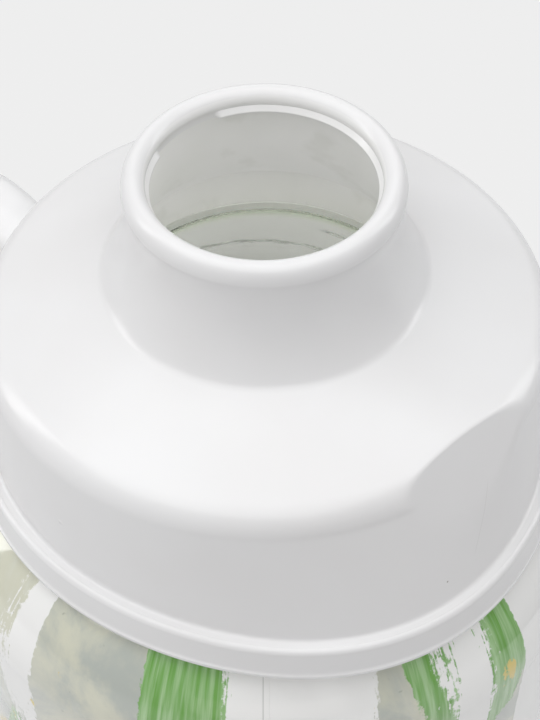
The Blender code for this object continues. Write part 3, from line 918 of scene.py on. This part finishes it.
def makePrint(look):
    finish, tree, shader = newMaterial("printedFilm")
    place = addNode(tree, "ShaderNodeTexCoord").outputs["Object"]
    turned = addNode(tree, "ShaderNodeVectorRotate", {"rotation_type": "Z_AXIS"}, Vector=place)
    turned.inputs["Angle"].default_value = math.radians(180.0 - look["jointAngle"])
    split = addNode(tree, "ShaderNodeSeparateXYZ", None, Vector=turned.outputs[0]).outputs
    angle = sums(tree, "ARCTAN2", split[1], split[0])
    around = sums(tree, "MULTIPLY", angle, look["radius"])
    sheet = addNode(tree, "ShaderNodeCombineXYZ", None, X=around, Y=split[2]).outputs[0]

    def stretched(across, along, shift, detail, rough):
        # noise drawn out along the stroke, with so many patches to the metre each way
        x = sums(tree, "MULTIPLY_ADD", around, across, shift)
        y = sums(tree, "MULTIPLY", split[2], along)
        spot = addNode(tree, "ShaderNodeCombineXYZ", None, X=x, Y=y, Z=shift).outputs[0]
        return cloud(tree, spot, 1.0, detail, rough)

    fray = sums(tree, "SUBTRACT", cloud(tree, sheet, 700.0, 3.0, 0.7), 0.5)
    bristle = sums(tree, "SUBTRACT", stretched(1500.0, 130.0, 5.3, 2.0, 0.6), 0.5)

    def strokes(across, along, shift, level, frayed, dry):
        # upright strokes: where the soft noise is over the level, with frayed and dry-brushed edges
        body = stretched(across, along, shift, 1.0, 0.35)
        body = sums(tree, "MULTIPLY_ADD", fray, frayed, body)
        body = sums(tree, "MULTIPLY_ADD", bristle, dry, body)
        return ramp(tree, body, level, level + 0.012)

    mottle = cloud(tree, sheet, 60.0, 5.0, 0.62, 0.6)
    colour = blendColour(tree, ramp(tree, mottle, 0.38, 0.66), look["ground"], look["groundDark"])
    smoke = cloud(tree, sheet, 34.0, 6.0, 0.6, 1.2)
    colour = blendColour(tree, ramp(tree, smoke, 0.50, 0.70), colour, look["mist"])
    flecks = ramp(tree, cloud(tree, sheet, 520.0, 2.0, 0.5), 0.70, 0.76)
    flecks = sums(tree, "MULTIPLY", flecks, look["fleckDark"])
    colour = blendColour(tree, flecks, colour, look["fleck"])
    leaf = strokes(*look["leafStroke"])
    shade = ramp(tree, stretched(700.0, 40.0, 9.1, 4.0, 0.6), 0.38, 0.68)
    tint = blendColour(tree, shade, look["green"], look["greenPale"])
    colour = blendColour(tree, leaf, colour, tint)
    dab = strokes(*look["ochreDab"])
    colour = blendColour(tree, dab, colour, look["ochre"])
    white = strokes(*look["whiteStroke"])
    colour = blendColour(tree, white, colour, look["white"])
    # the film's ends meet at the joint, one lapped over the other
    fromJoint = sums(tree, "SUBTRACT", math.pi * look["radius"], sums(tree, "ABSOLUTE", around))
    overlap = ramp(tree, fromJoint, look["jointWidth"], look["jointWidth"] - 0.0001)
    overlap = sums(tree, "MULTIPLY", overlap, sums(tree, "LESS_THAN", around, 0.0))
    pale = sums(tree, "MULTIPLY", overlap, look["overlapPale"])
    colour = blendColour(tree, pale, colour, look["white"])
    cut = ramp(tree, fromJoint, 0.00016, 0.00006)
    colour = blendColour(tree, sums(tree, "MULTIPLY", cut, look["cutDark"]), colour, look["fleck"])
    tree.links.new(colour, shader.inputs["Base Color"])
    shader.inputs["Roughness"].default_value = look["roughness"]
    shader.inputs["Coat Weight"].default_value = look["varnish"]
    shader.inputs["Coat Roughness"].default_value = look["varnishRoughness"]
    ink = sums(tree, "MULTIPLY_ADD", white, 0.5, leaf)
    bumped(tree, shader, sums(tree, "MULTIPLY_ADD", overlap, 1.5, ink), look["inkDepth"])
    clearFromBehind(tree, shader.outputs[0])
    return finish


def makePrintBack(look):
    # the pale back of the print, lit through the film
    finish, tree, shader = newMaterial("printedFilmBack")
    place = addNode(tree, "ShaderNodeTexCoord").outputs["Object"]
    cloudy = cloud(tree, place, 45.0, 3.0, 0.5)
    colour = blendColour(tree, ramp(tree, cloudy, 0.35, 0.70), look["back"], look["backGreen"])
    tree.links.new(colour, shader.inputs["Base Color"])
    shader.inputs["Roughness"].default_value = look["backRoughness"]
    clearFromBehind(tree, glowing(tree, shader, colour, look["letThrough"]))
    return finish


filmShape = {
    "gap": 0.0003,            # left clear to the glass
    "thickness": 0.0004,
    "topRadius": 0.0427,      # where the film ends on the shoulder
    "bottomZ": 0.011,
}


def filmLine(f, g, offset):
    # one side of the film, downwards, at an offset from the glass
    edge = g["bodyRadius"] - g["shoulderSpan"]
    top = math.degrees(math.acos((f["topRadius"] - edge) / g["shoulderSpan"]))
    span, rise = g["shoulderSpan"] + offset, g["shoulderHeight"] + offset
    points = quarter(edge, g["bodyHeight"], span, rise, top)[::-1]
    share = (f["bottomZ"] - g["footRounding"]) / (g["bodyHeight"] - g["footRounding"])
    foot = g["footRadius"] + (g["bodyRadius"] - g["footRadius"]) * share + offset
    return points + spaced([points[-1], (foot, f["bottomZ"])], g["sideGap"])[1:]


def makeFilm(f, g, finish, backFinish):
    outer = filmLine(f, g, f["gap"] + f["thickness"])
    inner = filmLine(f, g, f["gap"])
    angles = evenAngles(g["columns"])
    rows = [turnedRow(x, z, angles) for x, z in outer + inner[::-1]]
    made = skinned("printedWrap", rows, "bottle", finish, ring=True)
    made.data.materials.append(backFinish)
    for face in made.data.polygons:
        if len(outer) <= face.index // len(angles) < len(rows) - 1:
            face.material_index = 1
    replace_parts(made, "print_film")


makeFilm(filmShape, glassShape, makePrint(printLook), makePrintBack(printLook))
print("print made")


# Seal ring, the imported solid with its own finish
sealLook = {
    "colour": (0.90, 0.91, 0.88, 1.0), "shade": (0.84, 0.85, 0.81, 1.0),
    "roughness": 0.5, "letThrough": 0.5, "grainDepth": 0.00002,
}


def dressSeal(look):
    finish, tree, shader = newMaterial("softSeal")
    place = addNode(tree, "ShaderNodeTexCoord").outputs["Object"]
    cloudy = cloud(tree, place, 300.0, 3.0, 0.5)
    colour = blendColour(tree, cloudy, look["colour"], look["shade"])
    tree.links.new(colour, shader.inputs["Base Color"])
    shader.inputs["Roughness"].default_value = look["roughness"]
    bumped(tree, shader, cloudy, look["grainDepth"])
    surfaced(tree, glowing(tree, shader, look["colour"], look["letThrough"]))
    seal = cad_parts["seal_ring"]
    seal.data.materials.clear()
    seal.data.materials.append(finish)


dressSeal(sealLook)
print("seal dressed")
